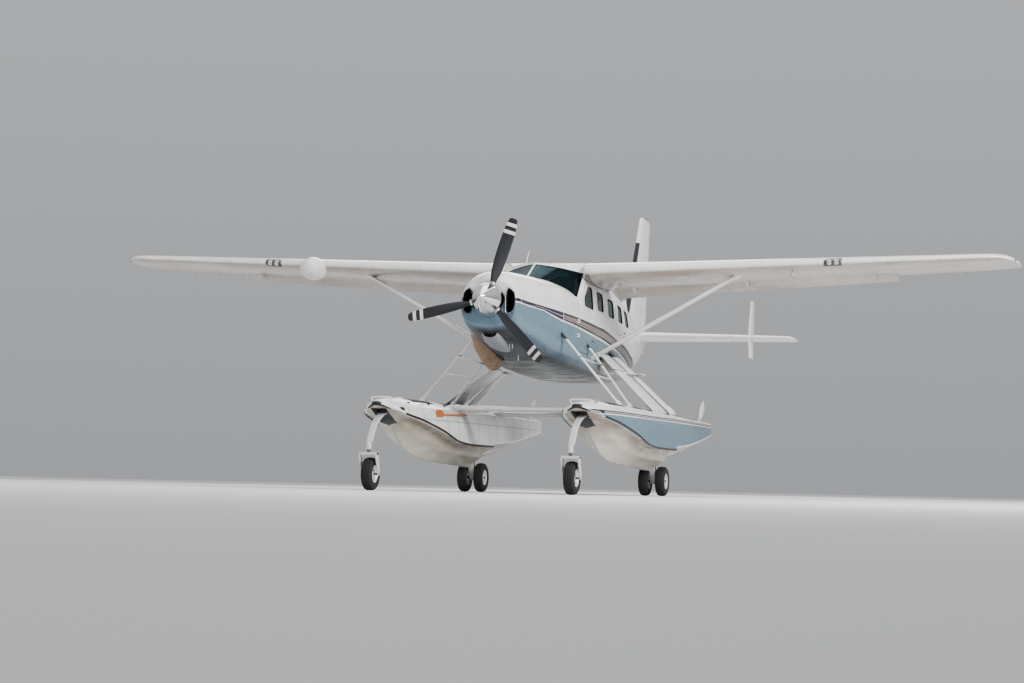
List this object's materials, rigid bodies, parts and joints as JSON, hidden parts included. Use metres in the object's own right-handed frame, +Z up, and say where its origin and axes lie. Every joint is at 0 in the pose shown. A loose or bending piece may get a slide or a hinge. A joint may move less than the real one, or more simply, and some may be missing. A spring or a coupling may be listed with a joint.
{
  "type": "amphibious floatplane",
  "caption": "High-wing single-turboprop utility aircraft on amphibious floats with wheels out, hinged doors, moving tail and wing surfaces, and a free propeller.",
  "frame": {"origin": "on the floor, under the middle of the aircraft's bounding box", "axes": "+X to the aircraft's left (port) side, +Y aft, +Z up; the nose points along -Y"},
  "size_m": [15.87, 12.2294, 5.4258],
  "materials": {
    "white_paint": "gloss",
    "glass": "tinted, clear",
    "polished_metal": "polished",
    "blade": "satin",
    "engine_metal": "satin",
    "exhaust_metal": "heat-tinted",
    "leg_metal": "satin",
    "tyre": "matt",
    "seat_fabric": "woven",
    "panel_plastic": "matt",
    "floor_trim": "matt"
  },
  "bodies": {
    "airframe": {"cabin_shell": "white_paint", "windshield": "glass", "cabin_floor": "floor_trim", "instrument_panel": "panel_plastic", "passenger_seats": "seat_fabric", "engine_cowling": "white_paint", "engine_block": "engine_metal", "exhaust_pipe": "exhaust_metal", "radar_pod": "white_paint", "tail_cone": "white_paint", "tailplane": "white_paint", "tail_fin": "white_paint", "crew_seat_left": "seat_fabric", "cabin_windows_left": "glass", "wing_left": "white_paint", "wing_strut_left": "white_paint", "crew_seat_right": "seat_fabric", "cabin_windows_right": "glass", "wing_right": "white_paint", "wing_strut_right": "white_paint", "spreader_front": "white_paint", "spreader_rear": "white_paint", "float_left": "white_paint", "ladder_struts_left": "white_paint", "main_struts_left": "white_paint", "nose_leg_left": "leg_metal", "main_leg_left": "leg_metal", "float_right": "white_paint", "ladder_struts_right": "white_paint", "main_struts_right": "white_paint", "nose_leg_right": "leg_metal", "main_leg_right": "leg_metal"},
    "propeller": {"spinner": "polished_metal", "propeller_blades": "blade"},
    "aileron_left": {"aileron_left": "white_paint"},
    "aileron_right": {"aileron_right": "white_paint"},
    "flap_left": {"flap_left": "white_paint"},
    "flap_right": {"flap_right": "white_paint"},
    "elevator": {"elevator": "white_paint"},
    "rudder": {"tail_rudder": "white_paint"},
    "crew_door_left": {"crew_door_left": "white_paint", "crew_door_left_glass": "glass"},
    "crew_door_right": {"crew_door_right": "white_paint", "crew_door_right_glass": "glass"},
    "cargo_door_upper": {"cargo_door_upper": "white_paint", "cargo_door_upper_glass": "glass"},
    "cargo_door_lower": {"cargo_door_lower": "white_paint"},
    "airstair_upper": {"airstair_upper": "white_paint", "airstair_upper_glass": "glass"},
    "airstair_lower": {"airstair_lower": "white_paint"},
    "nose_caster_left": {"nose_fork_left": "leg_metal"},
    "nose_wheel_left": {"nose_wheel_left": "tyre"},
    "main_wheels_left": {"main_wheels_left": "tyre"},
    "water_rudder_left": {"water_rudder_left": "leg_metal"},
    "nose_caster_right": {"nose_fork_right": "leg_metal"},
    "nose_wheel_right": {"nose_wheel_right": "tyre"},
    "main_wheels_right": {"main_wheels_right": "tyre"},
    "water_rudder_right": {"water_rudder_right": "leg_metal"}
  },
  "joints": [
    {"name": "propeller_spin", "type": "hinge", "parent": "airframe", "child": "propeller", "pos_m": [0, -5.1324, 3.07865], "axis": [0, 0.9986, -0.0523], "continuous": true},
    {"name": "aileron_left_hinge", "type": "hinge", "parent": "airframe", "child": "aileron_left", "pos_m": [5.875, -0.58093, 3.88543], "axis": [0.9978, -0.0484, 0.0445], "range_deg": [-16, 25]},
    {"name": "aileron_right_hinge", "type": "hinge", "parent": "airframe", "child": "aileron_right", "pos_m": [-5.875, -0.58093, 3.88543], "axis": [0.9978, 0.0484, -0.0445], "range_deg": [-16, 25]},
    {"name": "flap_left_hinge", "type": "hinge", "parent": "airframe", "child": "flap_left", "pos_m": [0.88, -0.32218, 3.53006], "axis": [-0.9978, 0.0485, -0.0449], "range_deg": [-20, 10]},
    {"name": "flap_right_hinge", "type": "hinge", "parent": "airframe", "child": "flap_right", "pos_m": [-0.88, -0.32218, 3.53006], "axis": [-0.9978, -0.0485, 0.0449], "range_deg": [-20, 10]},
    {"name": "elevator_hinge", "type": "hinge", "parent": "airframe", "child": "elevator", "pos_m": [0, 5.26154, 3.03461], "axis": [1, 0, 0], "range_deg": [-20, 25]},
    {"name": "rudder_hinge", "type": "hinge", "parent": "airframe", "child": "rudder", "pos_m": [0, 5.36593, 2.79081], "axis": [0, 0.1604, 0.987], "range_deg": [-25, 25]},
    {"name": "crew_door_left_hinge", "type": "hinge", "parent": "airframe", "child": "crew_door_left", "pos_m": [0.80162, -2.37759, 2.55375], "axis": [0.0039, -0.0523, -0.9986], "range_deg": [0, 85]},
    {"name": "crew_door_right_hinge", "type": "hinge", "parent": "airframe", "child": "crew_door_right", "pos_m": [-0.80162, -2.37759, 2.55375], "axis": [0.0039, 0.0523, 0.9986], "range_deg": [0, 85]},
    {"name": "cargo_door_upper_hinge", "type": "hinge", "parent": "airframe", "child": "cargo_door_upper", "pos_m": [0.75152, 0.38628, 3.44382], "axis": [0.0786, -0.9955, 0.0522], "range_deg": [0, 85]},
    {"name": "cargo_door_lower_hinge", "type": "hinge", "parent": "airframe", "child": "cargo_door_lower", "pos_m": [0.81432, 0.25408, 2.32571], "axis": [-0.0222, -0.0523, -0.9984], "range_deg": [0, 90]},
    {"name": "airstair_upper_hinge", "type": "hinge", "parent": "airframe", "child": "airstair_upper", "pos_m": [-0.71891, 0.98546, 3.41242], "axis": [0.1071, 0.9929, -0.052], "range_deg": [0, 85]},
    {"name": "airstair_lower_hinge", "type": "hinge", "parent": "airframe", "child": "airstair_lower", "pos_m": [-0.76262, 0.92019, 2.16713], "axis": [-0.1625, -0.9854, 0.0516], "range_deg": [0, 115]},
    {"name": "nose_caster_left_swivel", "type": "hinge", "parent": "airframe", "child": "nose_caster_left", "pos_m": [1.64, -5.96984, 0.645], "axis": [0, 0, 1], "range_deg": [-45, 45]},
    {"name": "nose_wheel_left_spin", "type": "hinge", "parent": "nose_caster_left", "child": "nose_wheel_left", "pos_m": [1.64, -5.85984, 0.26], "axis": [1, 0, 0], "continuous": true},
    {"name": "main_wheels_left_spin", "type": "hinge", "parent": "airframe", "child": "main_wheels_left", "pos_m": [1.64, -0.24984, 0.255], "axis": [1, 0, 0], "continuous": true},
    {"name": "water_rudder_left_lift", "type": "hinge", "parent": "airframe", "child": "water_rudder_left", "pos_m": [1.64, 3.38516, 1.38], "axis": [-1, 0, 0], "range_deg": [0, 112]},
    {"name": "nose_caster_right_swivel", "type": "hinge", "parent": "airframe", "child": "nose_caster_right", "pos_m": [-1.64, -5.96984, 0.645], "axis": [0, 0, 1], "range_deg": [-45, 45]},
    {"name": "nose_wheel_right_spin", "type": "hinge", "parent": "nose_caster_right", "child": "nose_wheel_right", "pos_m": [-1.64, -5.85984, 0.26], "axis": [1, 0, 0], "continuous": true},
    {"name": "main_wheels_right_spin", "type": "hinge", "parent": "airframe", "child": "main_wheels_right", "pos_m": [-1.64, -0.24984, 0.255], "axis": [1, 0, 0], "continuous": true},
    {"name": "water_rudder_right_lift", "type": "hinge", "parent": "airframe", "child": "water_rudder_right", "pos_m": [-1.64, 3.38516, 1.38], "axis": [-1, 0, 0], "range_deg": [0, 112]}
  ]
}
